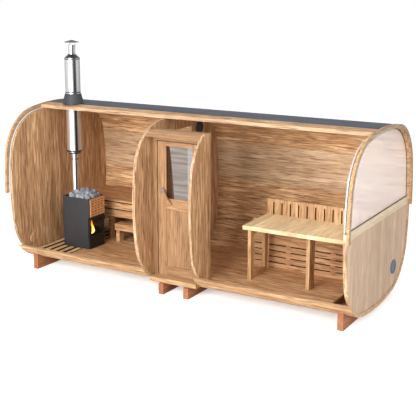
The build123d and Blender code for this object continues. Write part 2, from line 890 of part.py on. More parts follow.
fire_mid_x = stove_right - fire_door_thickness / 2
with BuildPart() as stove_door_glass:
    box_between(
        (fire_mid_x - fire_pane / 2, fire_window_low[0], fire_window_low[1]),
        (fire_mid_x + fire_pane / 2, fire_window_high[0], fire_window_high[1]),
    )
write(stove_door_glass, "stove_door_glass")

# Stones heaped on the tray, as one low mound
with BuildPart() as stove_stones:
    tray_z = at_axis(stove_top) - tray_depth
    tray_length = stove_depth - 2 * stove_wall
    tray_width = stove_width - 2 * stove_wall
    for rise, length, width in (
        (0, tray_length - 2 * stone_edge, tray_width - 4),
        (tray_depth + 20, tray_length - 2 * stone_edge - 20, tray_width - 30),
        (tray_depth + stone_mound_height, *stone_mound_top),
    ):
        with BuildSketch(Plane.XY.offset(tray_z + rise)):
            with Locations((stove_mid_x + stone_mound_shift, stove_y)):
                Rectangle(length, width)
    loft(ruled=True)
    with Locations((flue_x, flue_y, tray_z)):
        Cylinder(flue_radius + 2, stone_bore_length, mode=Mode.SUBTRACT)
write(stove_stones, "stove_stones")

# Chimney: flue pipe with its rain cap, insulated length with cones, and roof flashing
tray_floor = stove_top - tray_depth


def turned(profile):
    """Solid of revolution about the chimney's line, from radius and height pairs."""
    with BuildPart() as piece:
        with BuildSketch(Plane(origin=(flue_x, flue_y, axis_height), x_dir=(1, 0, 0),
                               z_dir=(0, -1, 0))):
            with BuildLine():
                Polyline(*profile, close=True)
            make_face()
        revolve(axis=Axis((flue_x, flue_y, 0), (0, 0, 1)))
    return piece


flue_pipe = turned([
    (flue_radius - flue_wall, tray_floor + seat_gap), (flue_radius, tray_floor + seat_gap),
    (flue_radius, flue_top), (flue_radius - flue_wall, flue_top),
])
cap_z = flue_top + cap_gap
strut_height = cap_gap + strut_lap
with flue_pipe:
    for turn in (45, 165, 285):
        strut_x = flue_x + flue_radius * cos(radians(turn))
        strut_y = flue_y + flue_radius * sin(radians(turn))
        with Locations((strut_x, strut_y, at_axis(cap_z + 8 - strut_height / 2))):
            Cylinder(strut_radius, strut_height)
    add(turned([
        (0, cap_z + cap_rise), (0, cap_z + cap_rise - cap_thickness), (cap_radius - 20, cap_z),
        (cap_radius, cap_z - 8), (cap_radius, cap_z - 8 + cap_thickness),
    ]).part)
write(flue_pipe, "flue_pipe")

sleeve_bore = flue_radius + seat_gap
insulated_chimney = turned([
    (sleeve_bore, chimney_bottom - lower_cone),
    (chimney_radius - lower_cone, chimney_bottom - lower_cone),
    (chimney_radius, chimney_bottom), (chimney_radius, chimney_top),
    (sleeve_bore, chimney_top + chimney_cone),
])
write(insulated_chimney, "insulated_chimney")

# The flashing's foot is cut to the curve of the roof sheet
flashing_bore = chimney_radius + seat_gap
flashing_foot = section_y(flue_y - flashing_radius, stave_thickness)
roof_flashing = turned([
    (flashing_bore, flashing_foot), (flashing_radius, flashing_foot),
    (flashing_radius, inner_half + stave_thickness + sheet_thickness + 8),
    (flashing_bore + 6, flashing_top), (flashing_bore, flashing_top),
])
with BuildPart() as roof_core:
    with BuildSketch(section_plane(flue_x - 2 * flashing_radius)):
        add(barrel_face(stave_thickness + sheet_thickness + seat_gap))
    extrude(amount=4 * flashing_radius)
with roof_flashing:
    add(roof_core.part, mode=Mode.SUBTRACT)
write(roof_flashing, "roof_flashing")
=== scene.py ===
# %% [markdown]
# # Dressing a sectional barrel sauna
# The solids of the sauna are already made and come in as a fixed frame. What they lack is what a
# carpenter would see first: single staves and boards with small grooves between them, grain that
# runs along each board, stones on the stove, a fire behind its glass and shingles on the roof.
# This file adds those, one short cell at a time.

# %% Load the frame
import math
import random

import bmesh
import bpy
from mathutils import Matrix, Vector, noise


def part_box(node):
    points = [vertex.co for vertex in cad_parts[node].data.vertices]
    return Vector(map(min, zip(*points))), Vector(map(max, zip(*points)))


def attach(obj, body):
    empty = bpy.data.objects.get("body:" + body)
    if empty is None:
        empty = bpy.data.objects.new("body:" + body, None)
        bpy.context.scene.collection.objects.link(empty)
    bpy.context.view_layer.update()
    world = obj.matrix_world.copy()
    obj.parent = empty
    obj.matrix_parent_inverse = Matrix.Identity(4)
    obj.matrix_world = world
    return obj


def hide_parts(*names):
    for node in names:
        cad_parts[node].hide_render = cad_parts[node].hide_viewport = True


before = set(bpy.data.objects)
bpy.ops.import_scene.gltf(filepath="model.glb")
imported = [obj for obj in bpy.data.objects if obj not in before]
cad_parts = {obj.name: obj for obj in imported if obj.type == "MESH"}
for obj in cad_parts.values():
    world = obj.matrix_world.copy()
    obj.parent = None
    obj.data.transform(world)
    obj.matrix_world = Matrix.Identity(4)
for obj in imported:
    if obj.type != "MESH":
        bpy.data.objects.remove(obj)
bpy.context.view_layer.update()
random.seed(7)

# %% [markdown]
# ## Measures read from the frame
# Every place below is worked out from the boxes of the solids, so that the dressing follows them
# if they change. The barrel's axis is half way up its left end wall.

# %% Measures
wall_low, wall_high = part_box("left_end_wall")
axis_z = (wall_low.z + wall_high.z) / 2
inner_half = (wall_high.y - wall_low.y) / 2
stave_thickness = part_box("shell_roof")[1].z - wall_high.z
print("axis height", round(axis_z, 3), "half width inside", round(inner_half, 3),
      "stave", round(stave_thickness, 3))

# %% [markdown]
# ## Colours
# A colour in a shader is linear light, while a colour picker shows the screen's values. A small
# helper turns the written screen value into linear light, so the notes of a paint chart can be
# used as they are.


# %% Colour helper
def colour(code):
    """Linear red, green, blue and alpha of a screen colour written as six hex digits."""
    parts = [int(code[i:i + 2], 16) / 255 for i in (0, 2, 4)]
    linear = [p / 12.92 if p <= 0.04045 else ((p + 0.055) / 1.055) ** 2.4 for p in parts]
    return (*linear, 1.0)


print("a mid tan is", [round(c, 2) for c in colour("c49a6c")])

# %% [markdown]
# ## Shader plumbing
# Node trees get long when every socket is set by hand. One helper adds a node, sets its plain
# options and fills its inputs; an input that is given a socket is linked instead. Another moves
# the pattern from board to board, so that neighbours don't look cut from one plank.


# %% Shader helper
def add_node(tree, kind, inputs=None, **options):
    """Add a shader node; inputs map a socket's name or number to a value or to an output."""
    made = tree.nodes.new(kind)
    for name, value in options.items():
        setattr(made, name, value)
    for key, value in (inputs or {}).items():
        if isinstance(value, bpy.types.NodeSocket):
            tree.links.new(value, made.inputs[key])
        else:
            made.inputs[key].default_value = value
    return made


def new_material(name):
    """An empty node material with its Principled shader, as (material, tree, shader)."""
    material = bpy.data.materials.new(name)
    material.use_nodes = True
    tree = material.node_tree
    return material, tree, tree.nodes["Principled BSDF"]


def ramp(tree, factor, stops):
    """A colour ramp from (place, colour) pairs."""
    made = add_node(tree, "ShaderNodeValToRGB", {"Fac": factor})
    while len(made.color_ramp.elements) < len(stops):
        made.color_ramp.elements.new(0.5)
    for element, (place, tone) in zip(made.color_ramp.elements, stops):
        element.position = place
        element.color = tone
    return made.outputs["Color"]


def mix(tree, factor, first, second, blend="MIX"):
    """Mix two colours."""
    made = add_node(tree, "ShaderNodeMix", data_type="RGBA", blend_type=blend)
    for socket, value in ((0, factor), (6, first), (7, second)):
        if isinstance(value, bpy.types.NodeSocket):
            tree.links.new(value, made.inputs[socket])
        else:
            made.inputs[socket].default_value = value
    return made.outputs[2]


def board_place(tree, jump):
    """Object coordinates, the same moved by a jump for each board, and the board's number."""
    place = add_node(tree, "ShaderNodeTexCoord").outputs["Object"]
    board = add_node(tree, "ShaderNodeAttribute", attribute_name="board").outputs["Fac"]
    step = add_node(tree, "ShaderNodeVectorMath", {0: jump, "Scale": board},
                    operation="SCALE").outputs[0]
    moved = add_node(tree, "ShaderNodeVectorMath", {0: place, 1: step}, operation="ADD").outputs[0]
    return place, moved, board


print("shader helpers ready")

# %% [markdown]
# ## Heat-treated pine
# Grain is long streaks along a board, with slow arches where the saw crossed the growth rings,
# and each board comes from another tree. Bent noise, stretched along the board and sent through a
# sine, gives the arches; noise stretched at two finer scales gives flecks and fibres. A wave
# texture would be simpler, but its lines are too even for pine. Each board's faces carry a random
# number, the attribute "board", which moves the pattern and shifts the tone, so neighbours differ.

# %% Wood
# For each grain direction, the scales of the arches, the flecks and the fibres
GRAIN_STRETCH = {
    "X": ((0.55, 7.0, 7.0), (3.6, 52.0, 52.0), (6.0, 120.0, 120.0)),
    "Y": ((7.0, 0.55, 7.0), (52.0, 3.6, 52.0), (120.0, 6.0, 120.0)),
    "Z": ((7.0, 7.0, 0.55), (52.0, 52.0, 3.6), (120.0, 120.0, 6.0)),
}
WHITE = (1.0, 1.0, 1.0, 1.0)
FLECK_DARK, FLECK_MIDDLE = (0.20, 0.13, 0.09, 1.0), (0.80, 0.76, 0.72, 1.0)
FLECK_BRIGHT = (1.25, 1.24, 1.22, 1.0)
FIBRE_DARK = (0.55, 0.47, 0.40, 1.0)
BOARD_JUMP = (41.3, 17.9, 29.1)
RING_TURNS, RING_SHARE = 16.0, 0.62
LIFT_LOW, LIFT_HIGH = 0.91, 1.08


def stretched(tree, place, scale, detail, roughness=0.55, distortion=0.0):
    """Noise drawn out along the grain."""
    laid = add_node(tree, "ShaderNodeMapping", {"Vector": place, "Scale": scale}).outputs[0]
    made = add_node(
        tree, "ShaderNodeTexNoise",
        {"Vector": laid, "Scale": 1.0, "Detail": detail, "Roughness": roughness,
         "Distortion": distortion},
    )
    return made.outputs["Fac"]


def wood(name, pale, deep, along, contrast=1.0, roughness=0.55):
    """Boards with their grain along one axis, from a pale and a deep tone."""
    material, tree, shader = new_material(name)
    _, place, board = board_place(tree, BOARD_JUMP)
    slow, middle, fast = GRAIN_STRETCH[along]
    arches = stretched(tree, place, [1.6 * s for s in slow], 5.0, 0.55, 1.4)
    patches = stretched(tree, place, [0.8 * s for s in slow], 2.0)
    flecks = stretched(tree, place, middle, 4.0, 0.65, 0.4)
    fibres = stretched(tree, place, fast, 3.0, 0.6)
    turns = add_node(tree, "ShaderNodeMath", {0: arches, 1: RING_TURNS},
                     operation="MULTIPLY").outputs[0]
    rings = add_node(tree, "ShaderNodeMath", {0: turns}, operation="SINE").outputs[0]
    ring_share = add_node(
        tree, "ShaderNodeMapRange",
        {"Value": rings, "From Min": -0.4, "From Max": 1.0, "To Max": RING_SHARE * contrast},
    ).outputs[0]
    deep_tone, pale_tone = colour(deep), colour(pale)
    between = tuple(0.3 * a + 0.7 * b for a, b in zip(deep_tone, pale_tone))
    base = ramp(tree, patches, [(0.34, between), (0.60, pale_tone)])
    ringed = mix(tree, ring_share, base, deep_tone)
    fleck = ramp(tree, flecks, [(0.31, FLECK_DARK), (0.44, FLECK_MIDDLE), (0.52, WHITE),
                                (0.72, FLECK_BRIGHT)])
    flecked = mix(tree, min(1.0, contrast), ringed, fleck, "MULTIPLY")
    streak = ramp(tree, fibres, [(0.34, FIBRE_DARK), (0.60, WHITE)])
    streaked = mix(tree, min(1.0, 0.7 * contrast), flecked, streak, "MULTIPLY")
    lift = add_node(
        tree, "ShaderNodeMapRange", {"Value": board, "To Min": LIFT_LOW, "To Max": LIFT_HIGH}
    ).outputs[0]
    toned = add_node(
        tree, "ShaderNodeHueSaturation", {"Value": lift, "Color": streaked}
    ).outputs[0]
    bump = add_node(
        tree, "ShaderNodeBump", {"Height": fibres, "Strength": 0.12, "Distance": 0.001}
    ).outputs[0]
    tree.links.new(toned, shader.inputs["Base Color"])
    tree.links.new(bump, shader.inputs["Normal"])
    shader.inputs["Roughness"].default_value = roughness
    shader.inputs["Specular IOR Level"].default_value = 0.3
    return material


# Name, pale and deep tone, the axis along which the grain runs, and contrast
shell_wood = wood("stave_pine", "fbd3a4", "b07c4c", "X", 1.05)
roof_edge_wood = wood("cut_edge_long", "dcc0a0", "b48c62", "X", 0.8)
wall_wood = wood("wall_boards", "dcb48a", "8c6038", "Z", 0.9)
edge_wood = wood("cut_edge_upright", "d6ba98", "a5805a", "Z", 1.0)
end_wood = wood("weathered_end_boards", "cfb49a", "a3866c", "Z", 0.38)
rail_wood = wood("rail_pine", "e4d2b6", "c2a682", "Y", 0.25)
hoop_wood = wood("hoop_pine", "ecc08a", "b07c45", "Y", 0.9)
hoop_face = wood("hoop_face", "c0aa94", "92785f", "Y", 0.6)
floor_wood = wood("floor_boards", "f6cb9d", "a06d42", "X", 1.0)
slat_wood = wood("floor_slats", "f0cb9c", "ae7c4a", "Y", 0.8)
bench_wood = wood("bench_boards", "e6b98a", "a06c40", "X", 0.9)
upright_wood = wood("bench_uprights", "e2b98b", "a2703f", "Z", 0.8)
pale_wood = wood("pale_bench_top", "fbe6bd", "e0bc85", "Y", 0.4)
pale_edge = wood("pale_bench_edge", "f0d8ac", "cfa870", "X", 0.5)
door_wood = wood("door_stiles", "b8916b", "7c522c", "Z", 0.6)
door_rail_wood = wood("door_rails", "b8916b", "7c522c", "X", 0.6)
cradle_wood = wood("stained_cradles", "b67b56", "854d31", "Y", 0.5)
step_wood = wood("step_board", "dab88c", "ae8252", "X", 0.7)
print("woods:", len([m for m in bpy.data.materials if m.use_nodes]))

# %% [markdown]
# ## Metal, glass, stone and sheet
# The stove is painted black-grey and its grille is copper toned. The window mirrors so much of a
# bright sky that it looks veiled. A clear glass shader would need that sky to mirror; a surface
# that is part transparent gives the same veil on a plain white set.


# %% Plain finishes
def plain(name, tone, roughness=0.5, metallic=0.0, mottle=0.0, mottle_scale=30.0):
    """An even finish, with an optional soft mottle in its tone."""
    material, tree, shader = new_material(name)
    shader.inputs["Base Color"].default_value = colour(tone)
    shader.inputs["Roughness"].default_value = roughness
    shader.inputs["Metallic"].default_value = metallic
    if mottle:
        place = add_node(tree, "ShaderNodeTexCoord").outputs["Object"]
        cloud = add_node(
            tree, "ShaderNodeTexNoise", {"Vector": place, "Scale": mottle_scale, "Detail": 5.0}
        ).outputs["Fac"]
        light = tuple(min(1.0, c * (1 + mottle)) for c in colour(tone)[:3])
        dark = tuple(c * (1 - mottle) for c in colour(tone)[:3])
        tones = ramp(tree, cloud, [(0.35, (*dark, 1.0)), (0.65, (*light, 1.0))])
        tree.links.new(tones, shader.inputs["Base Color"])
    return material


def glass(name, tone, alpha, roughness=0.03):
    """A pane: part-transparent, smooth and glossy."""
    material, tree, shader = new_material(name)
    shader.inputs["Base Color"].default_value = colour(tone)
    shader.inputs["Roughness"].default_value = roughness
    shader.inputs["Alpha"].default_value = alpha
    shader.inputs["Specular IOR Level"].default_value = 0.6
    return material


# Name, tone, roughness, share of metal, mottle and its scale
steel_dark = plain("dark_steel", "3a3d43", 0.35, 0.6)
hinge_steel = plain("hinge_steel", "a9abae", 0.3, 1.0)
stove_paint = plain("stove_paint", "2b2c2e", 0.5, 0.0, 0.08, 8.0)
stove_dark = plain("stove_iron", "0c0f14", 0.4)
# Painted highlight: a brownish lit line round the top of the stove.
stove_rim_painted_highlight = plain("stove_rim_painted_highlight", "7b5a45", 0.5)
copper = plain("grille_copper", "cf9868", 0.45, 0.0, 0.25, 40.0)
flashing_rubber = plain("flashing_rubber", "2d3036", 0.6)
vent_paint = plain("vent_blue_grey", "56687a", 0.45)
vent_dark = plain("vent_navy", "1d2c47", 0.45)
# Dark seal, partly the real rubber and partly painted shade in the gap at the pane's foot.
seal_and_painted_shade = plain("glass_seal_and_painted_shade", "4b382b", 0.6)
stone = plain("sauna_stone", "83878f", 0.8, 0.0, 0.45, 34.0)
# Near-black painted shade for slot faces, gaps and the sheets behind slats.
painted_shade_finish = plain("dark_painted_shade", "17120f", 0.9)
latch_steel = plain("latch_steel", "7f8fa3", 0.35, 0.7)
char = plain("charred_log", "2a1d15", 0.9, 0.0, 0.4, 60.0)
panorama = glass("panorama_glass", "fffbfb", 0.36, 0.05)
fire_pane = glass("fire_glass", "2a1a12", 0.25)
print("finishes ready")

# %% [markdown]
# ## Polished flue
# A polished pipe shows its room as upright streaks of white and black. Here the room is plain
# white, so these reflections are painted into the metal's colour, as tones round the pipe's own
# axis. The painted reflection stays with the pipe when the camera moves.

# %% Polished flue
pipe_low, pipe_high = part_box("insulated_chimney")
flue_x, flue_y = (pipe_low.x + pipe_high.x) / 2, (pipe_low.y + pipe_high.y) / 2
# Shares of a turn round the pipe, each with the tone of its painted reflection
PAINTED_REFLECTION_STREAKS = ((0.0, "8f9196"), (0.06, "4a4c50"), (0.08, "b9bbbf"), (0.16, "e4e4e6"), (0.27, "f4f3f2"),
           (0.35, "dcd8d5"), (0.385, "1c1e22"), (0.425, "45474b"), (0.45, "efeeee"),
           (0.56, "b4b5b8"), (0.60, "26282c"), (0.64, "dedfe1"), (0.78, "f2f2f2"),
           (0.86, "3a3c40"), (0.89, "e6e6e8"), (1.0, "8f9196"))


def painted_reflection_flue():
    """Steel with a painted reflection whose tone changes round the chimney's axis."""
    material, tree, shader = new_material("polished_flue")
    place = add_node(tree, "ShaderNodeTexCoord").outputs["Object"]
    centred = add_node(tree, "ShaderNodeMapping",
                       {"Vector": place, "Location": (-flue_x, -flue_y, 0.0)}).outputs[0]
    angle = add_node(tree, "ShaderNodeTexGradient", {"Vector": centred}, gradient_type="RADIAL")
    stops = [(share, colour(code)) for share, code in PAINTED_REFLECTION_STREAKS]
    tone = ramp(tree, angle.outputs["Fac"], stops)
    tree.links.new(tone, shader.inputs["Base Color"])
    shader.inputs["Metallic"].default_value = 0.9
    shader.inputs["Roughness"].default_value = 0.28
    return material


steel = painted_reflection_flue()
print("streaks round the flue:", len(PAINTED_REFLECTION_STREAKS))

# %% [markdown]
# ## Door glass
# The pane in the door carries a painted reflection: it is grey from the wood it mirrors, with
# painted shade in a dark strip at one side where one looks past the frame, and a painted highlight
# in a narrow pale strip at the other. These painted strips are placed by the pane's own width and
# height. A mirror-like pane would lose them, because the set holds nothing to mirror.

# %% Door glass
# Shares of the pane's width for the painted shade strip and the painted highlight strip, and how
# far the shade strip narrows on its way down
PAINTED_SHADE_STRIP, PAINTED_HIGHLIGHT_STRIP, NARROWING = (0.095, 0.115), (0.79, 0.80), 0.17
PAINTED_HIGHLIGHT_SHARE, PANE_ALPHA, SHEEN_SCALE = 0.35, 0.82, (1.5, 30.0, 30.0)


def painted_door_glass():
    """Grey glass with the pale side wall's painted reflection, painted shade by its closing side
    and a painted highlight.
    """
    material, tree, shader = new_material("door_glass")
    pane_low, pane_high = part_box("door_glass")
    place = add_node(tree, "ShaderNodeTexCoord").outputs["Object"]
    parts = add_node(tree, "ShaderNodeSeparateXYZ", {0: place})
    across_pane = add_node(tree, "ShaderNodeMapRange", {
        "Value": parts.outputs["X"], "From Min": pane_low.x, "From Max": pane_high.x}).outputs[0]
    down_pane = add_node(tree, "ShaderNodeMapRange", {
        "Value": parts.outputs["Z"], "From Min": pane_high.z, "From Max": pane_low.z}).outputs[0]
    bow = add_node(tree, "ShaderNodeMath", {0: down_pane, 1: 0.7}, operation="POWER").outputs[0]
    edge = add_node(tree, "ShaderNodeMath", {0: bow, 1: -NARROWING},
                    operation="MULTIPLY").outputs[0]
    past = add_node(tree, "ShaderNodeMath", {0: across_pane, 1: edge}, operation="ADD").outputs[0]
    streaks = stretched(tree, place, SHEEN_SCALE, 3.0)
    # Painted reflection: grey streaks of the wood that the pane mirrors.
    body = ramp(tree, streaks, [(0.35, colour("6d6660")), (0.65, colour("8f8983"))])
    # Painted shade: a dark strip at the closing side, where one looks past the frame.
    clear = add_node(tree, "ShaderNodeMapRange", {
        "Value": past, "From Min": PAINTED_SHADE_STRIP[0], "From Max": PAINTED_SHADE_STRIP[1]}).outputs[0]
    tone = mix(tree, clear, colour("3a2012"), body)
    # Painted highlight: a narrow pale strip at the other side.
    bright = add_node(tree, "ShaderNodeMapRange", {
        "Value": across_pane, "From Min": PAINTED_HIGHLIGHT_STRIP[0], "From Max": PAINTED_HIGHLIGHT_STRIP[1],
        "To Max": PAINTED_HIGHLIGHT_SHARE}).outputs[0]
    tree.links.new(mix(tree, bright, tone, colour("b9bcc2")), shader.inputs["Base Color"])
    shader.inputs["Roughness"].default_value = 0.05
    shader.inputs["Alpha"].default_value = PANE_ALPHA
    return material


door_pane = painted_door_glass()
print("door glass ready")

# %% [markdown]
# ## Shingles
# The roof skin is slate-grey bitumen laid in rows. The rows are cut in the mesh below. The tabs in
# a row differ only in tone, so cells of a Voronoi texture that change along X alone are enough.

# %% Shingle finish
ROW_JUMP, TABS_PER_METRE, GRIT_SCALE = (5.0, 0.0, 0.0), (3.0, 0.0, 0.0), 240.0
GRIT_DARK, GRIT_BRIGHT = (0.75, 0.75, 0.75, 1.0), (1.1, 1.1, 1.1, 1.0)


def shingle_material():
    """Grey mineral shingles: tabs along X, with a random tone for each row."""
    material, tree, shader = new_material("roof_shingles")
    place, moved, _ = board_place(tree, ROW_JUMP)
    along = add_node(tree, "ShaderNodeMapping",
                     {"Vector": moved, "Scale": TABS_PER_METRE}).outputs[0]
    tabs = add_node(tree, "ShaderNodeTexVoronoi", {"Vector": along, "Scale": 1.0},
                    feature="F1", voronoi_dimensions="3D").outputs["Color"]
    grit = add_node(tree, "ShaderNodeTexNoise",
                    {"Vector": place, "Scale": GRIT_SCALE, "Detail": 3.0}).outputs["Fac"]
    tone = ramp(tree, tabs, [(0.0, colour("363b45")), (1.0, colour("4d5460"))])
    speckle = ramp(tree, grit, [(0.35, GRIT_DARK), (0.65, GRIT_BRIGHT)])
    tree.links.new(mix(tree, 0.8, tone, speckle, "MULTIPLY"), shader.inputs["Base Color"])
    shader.inputs["Roughness"].default_value = 0.75
    return material


shingles = shingle_material()
print("shingles ready")

# %% [markdown]
# ## From a solid to boards
# A stave wall is many narrow boards with a fine groove between them. The groove is real, so it
# catches light at every angle. Each board is a slice of the solid: a merged copy of its mesh is
# cut by two planes, the cuts are closed, and their rims are bevelled. The planes are a list of
# (point, normal) pairs, so one helper serves straight walls and the curved shell.


# %% Board helper
GROOVE = 0.0022
MERGE, IN_PLANE = 0.00002, 0.00004
SHARP_CUT = 25.0
OVERSHOOT = 0.001
FACING = 0.7


def finish_piece(bm, name, materials, body, nodes=()):
    """Turn a bmesh into a piece that rides on a body and stands for some nodes."""
    mesh = bpy.data.meshes.new(name)
    bm.to_mesh(mesh)
    bm.free()
    for material in materials:
        mesh.materials.append(material)
    piece = bpy.data.objects.new(name, mesh)
    bpy.context.scene.collection.objects.link(piece)
    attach(piece, body)
    if nodes:
        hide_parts(*nodes)
    return piece


def copy_solid(node):
    """A merged copy of a node's mesh."""
    bm = bmesh.new()
    bm.from_mesh(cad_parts[node].data)
    bmesh.ops.remove_doubles(bm, verts=bm.verts, dist=MERGE)
    bmesh.ops.dissolve_limit(bm, angle_limit=math.radians(0.3), verts=bm.verts, edges=bm.edges)
    return bm


def keep_between(bm, first, second):
    """Keep what lies past the first plane and before the second, closed at both cuts."""
    for (point, normal), outer in ((first, False), (second, True)):
        whole = bm.verts[:] + bm.edges[:] + bm.faces[:]
        cut = bmesh.ops.bisect_plane(
            bm, geom=whole, plane_co=point, plane_no=normal, dist=0.00001,
            clear_inner=not outer, clear_outer=outer,
        )
        rim = [e for e in cut["geom_cut"] if isinstance(e, bmesh.types.BMEdge)]
        if rim:
            bmesh.ops.holes_fill(bm, edges=rim, sides=0)


def near_plane(vert, plane):
    """True if a vertex lies in a plane."""
    point, normal = plane
    return abs((vert.co - point).dot(normal.normalized())) < IN_PLANE


def soften(bm, limit=30.0):
    """Smooth faces, with sharp edges where they turn more than the limit."""
    for face in bm.faces:
        face.smooth = True
    for edge in bm.edges:
        if len(edge.link_faces) == 2:
            edge.smooth = edge.calc_face_angle(0.0) < math.radians(limit)


def slice_of(source, pairs, groove):
    """One board: what lies between each pair of planes, with the rims of the cuts bevelled."""
    piece = source.copy()
    for first, second in pairs:
        keep_between(piece, first, second)
    cuts = [plane for pair in pairs for plane in pair]
    rims = [
        e for e in piece.edges
        if len(e.link_faces) == 2 and e.calc_face_angle(0.0) > math.radians(SHARP_CUT)
        and any(all(near_plane(v, p) for v in e.verts) for p in cuts)
    ]
    if rims:
        bmesh.ops.bevel(piece, geom=rims, offset=groove, offset_type="OFFSET", segments=1,
                        profile=0.5, affect="EDGES", material=-1, clamp_overlap=True)
    soften(piece)
    return piece


def boards(name, node, cells, body, materials, pick=None, groove=GROOVE):
    """Boards cut from a node, one for each cell; pick(face, cell) gives a material number."""
    merged = bmesh.new()
    merged.faces.layers.float.new("board")
    source = copy_solid(node)
    for number, pairs in enumerate(cells):
        piece = slice_of(source, pairs, groove)
        tone = piece.faces.layers.float.new("board")
        value = random.random()
        for face in piece.faces:
            face[tone] = value
            face.material_index = pick(face, number) if pick else 0
        step = bpy.data.meshes.new("slice")
        piece.to_mesh(step)
        piece.free()
        merged.from_mesh(step)
        bpy.data.meshes.remove(step)
    source.free()
    made = finish_piece(merged, name, materials, body, [node])
    print(name, "faces", len(made.data.polygons))
    return made


def rows(planes):
    """Cells between neighbouring planes."""
    return [[pair] for pair in zip(planes, planes[1:])]


def across(axis, place):
    """The plane across an axis at a place."""
    normal = Vector([1.0 if i == "XYZ".index(axis) else 0.0 for i in range(3)])
    return (normal * place, normal)


def straight_planes(axis, low, high, width):
    """Equally spaced cutting planes across one axis, as many as fit boards of about a width."""
    count = max(1, round((high - low) / width))
    inner = [low + (high - low) * n / count for n in range(1, count)]
    return [across(axis, place) for place in (low - OVERSHOOT, *inner, high + OVERSHOOT)]


def turning_planes(start, end, count):
    """Cutting planes through the barrel's axis, from one angle to another, in degrees."""
    axis_point = Vector((0.0, 0.0, axis_z))
    made = []
    for n in range(count + 1):
        angle = math.radians(start + (end - start) * n / count)
        made.append((axis_point, Vector((0.0, -math.sin(angle), math.cos(angle)))))
    return made


print("board helpers ready")

# %% [markdown]
# ## Shell staves
# The staves run the length of the barrel. Planes through the barrel's axis cut each curved
# segment into equal staves, about 95 mm wide. The cut faces that look to the open front and the
# stave ends are paler, like freshly sawn wood, so they take a second material.


# %% Shell
CUT_FACING, BASE_CUT_REACH = 0.98, -0.7


def shell_pick(face, cell):
    """Freshly cut faces: the stave ends and the faces of the two long cuts."""
    normal = face.normal
    if abs(normal.x) > FACING:
        return 1
    centre = face.calc_center_median()
    roof_cut = normal.y < -CUT_FACING and centre.z > axis_z
    base_cut = normal.z > CUT_FACING and centre.y < BASE_CUT_REACH
    return 1 if roof_cut or base_cut else 0


# Piece, node, the angles between which it lies in degrees, and its number of staves
shell_parts = (
    ("roof_staves", "shell_roof", 45, 110, 12),
    ("back_upper_staves", "shell_back_upper", 0, 45, 10),
    ("back_lower_staves", "shell_back_lower", -45, 0, 10),
    ("base_back_staves", "shell_base_back", -90, -45, 10),
    ("base_front_staves", "shell_base_front", -145, -90, 12),
)
for name, node, start, end, count in shell_parts:
    planes = turning_planes(start, end, count)
    boards(name, node, rows(planes), "barrel",
           [shell_wood, roof_edge_wood], shell_pick)

# %% [markdown]
# ## End walls and partitions
# These walls are upright boards about 110 mm wide. The edges that show at the open front are
# sawn to the barrel's curve and look paler.


# %% Walls
WALL_BOARD = 0.11
EDGE_SIDEWAYS, EDGE_FORWARD, EDGE_AREA = 0.4, 0.05, 0.2


def edge_pick(face, cell):
    """The sawn edges of a wall that stands across the barrel."""
    to_front = abs(face.normal.x) < EDGE_SIDEWAYS and face.normal.y < -EDGE_FORWARD
    return 1 if to_front and face.calc_area() < EDGE_AREA else 0


cross_walls = (
    ("left_wall_boards", "left_end_wall", wall_wood),
    ("right_wall_boards", "right_end_wall", end_wood),
    ("partition_front_boards", "steam_wall_front", wall_wood),
    ("partition_back_boards", "steam_wall_back", wall_wood),
    ("partition_head_boards", "steam_wall_head", wall_wood),
    ("wing_boards", "porch_wing", wall_wood),
)
for name, node, finish in cross_walls:
    low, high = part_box(node)
    planes = straight_planes("Y", low.y, high.y, WALL_BOARD)
    boards(name, node, rows(planes), "barrel", [finish, edge_wood], edge_pick)

# %% [markdown]
# ## Floors
# Floor boards run along the barrel, so the planes that part them stand across Y. The open slats
# under the stove are in the same solid. They only take other finishes: grain across the barrel,
# and painted shade on their sides, where one looks down between them.

# %% Floors
GRATE_LENGTH, GRATE_EDGE, FLOOR_BOARD = 0.6, 0.002, 0.12
steam_low, steam_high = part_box("steam_floor")
rest_low, rest_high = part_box("rest_floor")


def slat_pick(face, cell):
    """The slats under the stove have their grain across the barrel, and painted shade in their
    gaps.
    """
    if face.calc_center_median().x > steam_low.x + GRATE_LENGTH - GRATE_EDGE:
        return 0
    return 2 if abs(face.normal.x) > FACING else 1


boards("steam_floor_boards", "steam_floor",
       rows(straight_planes("Y", steam_low.y, steam_high.y, FLOOR_BOARD)),
       "barrel", [floor_wood, slat_wood, painted_shade_finish], slat_pick)
boards("rest_floor_boards", "rest_floor",
       rows(straight_planes("Y", rest_low.y, rest_high.y, FLOOR_BOARD)),
       "barrel", [floor_wood])

# %% [markdown]
# ## Entrance door
# The leaf is a frame of two stiles and three rails around upright boards. The solid is one piece,
# so it is cut at the joints of the real frame: each part then has its own grain direction and a
# fine line where it meets the next. The leaf swings, so its pieces ride on the door's body.

# %% Door leaf
leaf_low, leaf_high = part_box("entrance_door")
pane_low, pane_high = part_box("door_glass")
MID_RAIL, BOTTOM_RAIL = 0.140, 0.118
SIDE_BOARD, PANEL_BOARD = 0.046, 0.140
PAST_END, FRAME_GROOVE = 0.01, 0.003
panel_top = pane_low.z - MID_RAIL
panel_bottom = leaf_low.z + BOTTOM_RAIL


def block(x_pair, z_pair):
    """The cell between two places along the barrel and two heights."""
    return [tuple(across("X", x) for x in x_pair), tuple(across("Z", z) for z in z_pair)]


